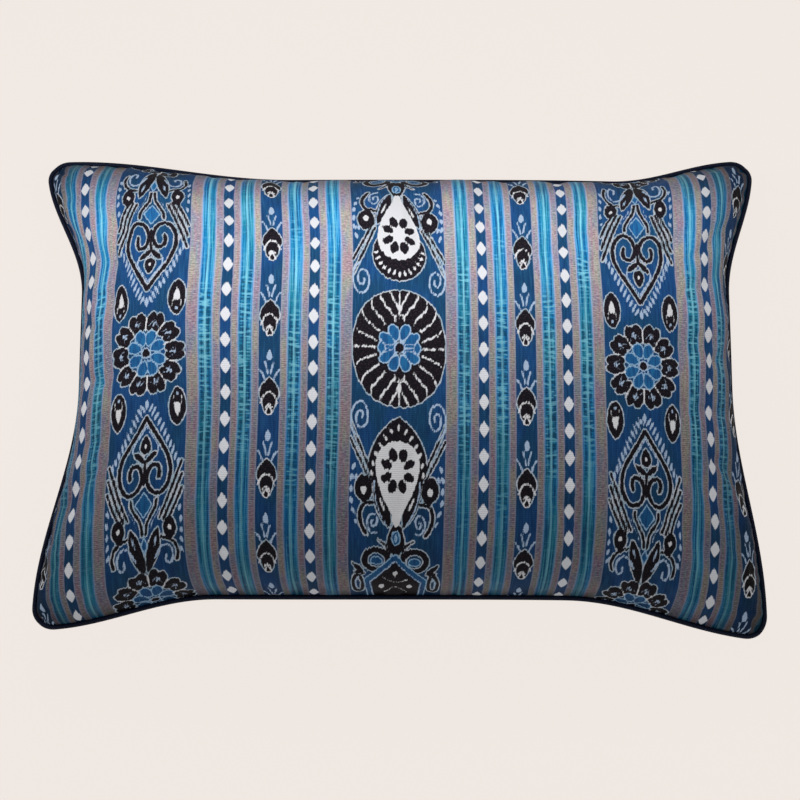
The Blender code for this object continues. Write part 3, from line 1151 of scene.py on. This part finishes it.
def turquoise_bands(s, x, y, beside):
    """Bright satin on both sides of a pale line, with dark and pale dashes over its middle length."""
    # Each band takes its noise from somewhere else
    band = s.times(s.attribute("band_x"), 7.0)
    place = s.add(x, band)
    drift = s.noise(place, y, 0.05, 0.012, 21.0, 1.0)
    streaks = s.noise(place, y, 0.9, 0.02, 25.0)
    colour = s.mix(s.below(drift, 0.5, 0.08), (20, 126, 186), (28, 128, 156))
    colour = s.tint(colour, s.below(beside, 2.2, 0.9), 0.35, (46, 150, 184))
    colour = s.tint(colour, s.below(streaks, 0.46, 0.05), 0.75, (10, 70, 124))
    colour = s.tint(colour, s.above(streaks, 0.58, 0.04), 0.45, (112, 192, 224))
    ends = s.math("MULTIPLY_ADD", s.noise(band, y, 0.3, 0.014, 41.0, 1.0), DASH_DRIFT, -DASH_DRIFT / 2)
    dense = s.below(s.add(s.math("ABSOLUTE", y), ends), DASH_ROWS, 14.0)
    dash = s.noise(place, y, 0.09, 0.46, 31.0, 1.0)
    across = s.times(s.below(beside, 3.8, 0.4), s.above(beside, 0.7, 0.3))
    colour = s.tint(colour, s.times(s.times(s.below(dash, 0.47, 0.04), dense), across), 0.7, (8, 58, 88))
    rungs = s.math("MULTIPLY_ADD", dense, 0.5, 0.12)
    colour = s.tint(colour, s.above(dash, 0.59, 0.03), rungs, (128, 200, 218))
    line = s.math("MULTIPLY_ADD", streaks, 1.3, -0.05)
    colour = s.tint(colour, s.below(beside, 0.8, 0.5), line, (140, 214, 232))
    return s.tint(colour, s.above(beside, 4.3, 0.3), 0.6, (110, 166, 220))


def navy_ground(s, fine, drift, painted_shading):
    """The dark blue of the panels and the diamonds' stripes, with fine streaks along the yarns."""
    navy = s.mix(s.below(drift, 0.5, 0.1), (29, 80, 138), (26, 76, 116))
    navy = s.tint(navy, s.below(fine, 0.42, 0.06), 0.5, (20, 56, 104))
    navy = s.tint(navy, s.above(fine, 0.59, 0.05), 0.4, (48, 106, 156))
    # Painted shade and light scale the navy
    return s.scaled(navy, painted_shading)


def diamond_row(s, y, edge, feather):
    """1 on the white diamonds, which stand in a row up each stripe."""
    # Whole pitches more, so that what is left of a pitch is counted from below everywhere
    shifted = s.add(s.add(y, (0.5 + 100) * DIAMOND_PITCH), s.times(feather, 0.6))
    row = s.math("ABSOLUTE", s.math("SUBTRACT", s.math("MODULO", shifted, DIAMOND_PITCH), DIAMOND_PITCH / 2))
    across = s.math("MAXIMUM", s.times(edge, 1 / DIAMOND_HALF_WIDTH), 0.0)
    up = s.times(row, 1 / DIAMOND_HALF_HEIGHT)
    powers = [s.math("POWER", value, DIAMOND_POWER) for value in (across, up)]
    return s.below(s.add(*powers), 1.0, 0.12)


def cover_material():
    """Ikat cloth: every line is drawn from the panel's distances, with edges that feather by the yarn."""
    s = Shader("ikat_cloth")
    x, y = s.attribute("cloth_x"), s.attribute("cloth_y")
    # Painted shading dims the dyed colours towards the bottom, the sides and the seam, and the painted sheen
    # lightens the bands along one row; the whites and the motifs' outlines are not shaded
    painted_shading, panel_off = s.attribute("painted_shading"), s.attribute("panel_off")
    feather = s.math("MULTIPLY_ADD", s.noise(x, y, 1.15, 0.2, 3.0, 1.0), 4.0, -2.0)
    specks = s.noise(x, y, 0.75, 0.75, 5.0)
    fine = s.noise(x, y, 0.7, 0.06, 55.0)
    soft_edge = s.times(feather, 0.25)

    beside = s.add(s.attribute("turquoise_off"), soft_edge)
    colour = s.tint(plain_bands(s, x, y, specks), s.below(beside, TURQUOISE_BORDER, 0.4), 0.75,
                    (160, 174, 204))
    colour = s.mix(s.below(beside, TURQUOISE_EDGE, 0.3), colour, turquoise_bands(s, x, y, beside))
    # Painted shade and painted sheen on the stripes
    colour = s.scaled(colour, s.times(painted_shading, s.attribute("painted_sheen")))

    # Painted shade and light on the navy and on the borders beside it
    navy = navy_ground(s, fine, s.noise(x, y, 0.045, 0.02, 51.0, 1.0), painted_shading)
    edge = s.add(s.attribute("diamond_off"), soft_edge)
    border = s.scaled((158, 164, 196), painted_shading)
    colour = s.tint(colour, s.below(edge, NAVY_BORDER, 0.4), 0.7, border)
    colour = s.mix(s.below(edge, NAVY_EDGE, 0.3), colour, navy)
    colour = s.mix(diamond_row(s, y, edge, feather), colour, (242, 244, 250))
    border = s.scaled((160, 168, 194), painted_shading)
    colour = s.tint(colour, s.below(panel_off, 1.0, 0.35), 0.6, border)
    colour = s.mix(s.below(panel_off, 0.0, 0.25), colour, navy)

    inside = s.below(panel_off, 0.6, 0.2)
    tone = s.below(s.noise(x, y, 0.12, 0.12, 61.0, 1.0), 0.5, 0.08)
    outline = s.mix(tone, (208, 215, 226), (176, 198, 214))
    # Painted shade and light on the black and the petals
    black = s.tint((22, 20, 28), s.below(specks, 0.44, 0.05), 0.7, (58, 44, 54))
    black = s.scaled(black, painted_shading)
    petal = s.mix(s.below(fine, 0.5, 0.1), (40, 118, 176), (32, 90, 150))
    petal = s.scaled(petal, painted_shading)
    uneven = s.add(s.times(feather, 0.42), s.times(s.add(specks, -0.5), 0.7))
    for name, reach, ink in (
        ("dark", 0.8, outline),
        ("dark", -0.05, black),
        ("flower", 0.45, (158, 196, 228)),
        ("flower", -0.45, petal),
        ("light", 0.1, (240, 240, 244)),
        ("pale", 0.15, (184, 206, 234)),
        ("core", 0.0, black),
        ("white", 0.0, (236, 236, 240)),
    ):
        drawn = s.below(s.add(s.attribute(name), uneven), reach)
        colour = s.mix(s.times(drawn, inside), colour, ink)

    threads = s.add(s.wave(y, RIB_PITCH), s.times(s.wave(x, THREAD_PITCH), 0.5))
    weave = s.add(s.times(threads, 0.5), s.times(specks, 1.5))
    roughness = s.math("MULTIPLY_ADD", s.below(beside, 4.7, 0.3), -0.2, 0.7)
    s.surface({"Base Color": colour, "Roughness": roughness, "Specular IOR Level": 0.1,
               "Normal": s.bump(weave, 0.5, 0.0003)})
    return s.material


def plain_cloth(name, ground, light, dark, roughness, pitch, slant):
    """Plain woven cloth of one colour, its threads slanted for a bias strip."""
    s = Shader(name)
    x, y = s.attribute("cloth_x"), s.attribute("cloth_y")
    thread = s.wave(s.add(x, s.times(y, slant)), pitch)
    cross = s.wave(s.add(y, s.times(x, -slant)), pitch)
    colour = s.mix(s.below(s.noise(x, y, 0.35, 0.35, 4.0), 0.5, 0.12), ground, light)
    colour = s.tint(colour, s.below(thread, -0.3, 0.5), 0.5, dark)
    weave = s.times(s.add(thread, cross), 0.5)
    s.surface({"Base Color": colour, "Roughness": roughness, "Specular IOR Level": 0.15,
               "Normal": s.bump(weave, 0.4, 0.0002)})
    return s.material


def make_stage():
    """A plain pale floor that glows, an even fill and one long soft lamp over the pillow's upper half."""
    corners = [(x * FLOOR_REACH, y * FLOOR_REACH, 0) for x, y in ((-1, -1), (1, -1), (1, 1), (-1, 1))]
    mesh = bpy.data.meshes.new("floor")
    mesh.from_pydata(corners, [], [(0, 1, 2, 3)])
    s = Shader("pale_floor")
    dim = [FLOOR_ALBEDO * part for part in shader_colour(FLOOR_COLOUR)[:3]] + [1]
    s.surface({"Base Color": dim, "Emission Color": FLOOR_COLOUR, "Emission Strength": FLOOR_GLOW,
               "Roughness": 1, "Specular IOR Level": 0})
    mesh.materials.append(s.material)
    floor = added("floor", mesh)
    floor.visible_diffuse = False

    world = bpy.data.worlds.new("studio")
    world.use_nodes = True
    fill = world.node_tree.nodes["Background"].inputs
    fill["Color"].default_value = (1, 1, 1, 1)
    fill["Strength"].default_value = FILL_LIGHT
    bpy.context.scene.world = world
    strip = bpy.data.lights.new("soft_strip", "AREA")
    strip.shape = "RECTANGLE"
    strip.size, strip.size_y = LAMP_SIZE
    strip.energy = LAMP_POWER
    lamp = added("soft_strip", strip)
    lamp.location = LAMP_PLACE
    lamp.rotation_euler = (0, 0, math.radians(LAMP_TURN))
    lamp.visible_camera = False
    bpy.context.scene.view_settings.view_transform = "Standard"


def make_camera():
    data = bpy.data.cameras.new("camera")
    data.sensor_width = SENSOR
    data.lens = CAMERA_DISTANCE / VIEW_WIDTH * SENSOR
    camera = added("camera", data)
    camera.location = AIM + Vector((0, -math.sin(TILT), math.cos(TILT))) * CAMERA_DISTANCE
    camera.rotation_euler = (TILT, 0, 0)
    bpy.context.scene.camera = camera


def main():
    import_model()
    make_camera()
    make_stage()

    grids = cloth_grids()
    grids = wrinkled(grids)
    shift = frame_shift()
    navy = plain_cloth("plain_navy_cloth", (26, 66, 118), (32, 74, 128), (16, 48, 92), 0.75, 1.1, 0.0)
    strip = plain_cloth("piping_bias_cloth", (12, 20, 42), (17, 28, 54), (6, 10, 22), 0.6, 0.9, 1.0)
    front = make_front(grids["face"] + shift, cover_material())
    back = make_back(grids["back"] + shift, navy)
    piping = make_piping(shift, strip)
    for panel in (front, back):
        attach(panel, "root")
        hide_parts("pillow_body")
    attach(piping, "root")
    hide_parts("piping")


main()
